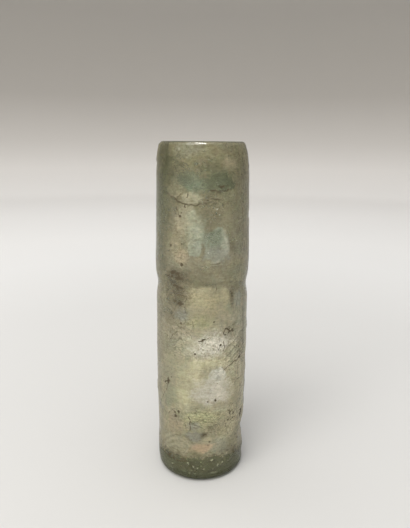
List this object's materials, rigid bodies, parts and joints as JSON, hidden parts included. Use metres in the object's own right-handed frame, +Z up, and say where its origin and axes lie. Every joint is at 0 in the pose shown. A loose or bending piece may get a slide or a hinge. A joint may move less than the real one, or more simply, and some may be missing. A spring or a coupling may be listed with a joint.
{
  "type": "glass vase",
  "caption": "Tall free-blown cylindrical glass vase with a shallow waist, an in-turned rounded lip, a thick floor and weathered, faintly iridescent surfaces.",
  "frame": {"origin": "middle of the footprint, on the surface the vase stands on", "axes": "+Z up along the vessel's axis, -Y towards the side that faces the viewer, +X to the viewer's right"},
  "size_m": [0.0412, 0.0408, 0.15],
  "materials": {
    "weathered_glass": "pale green glass under a thin olive, tan and grey weathering film with faint iridescence, brown soil in its pits and a dark green base"
  },
  "bodies": {
    "root": {"vase": "weathered_glass"}
  },
  "joints": []
}
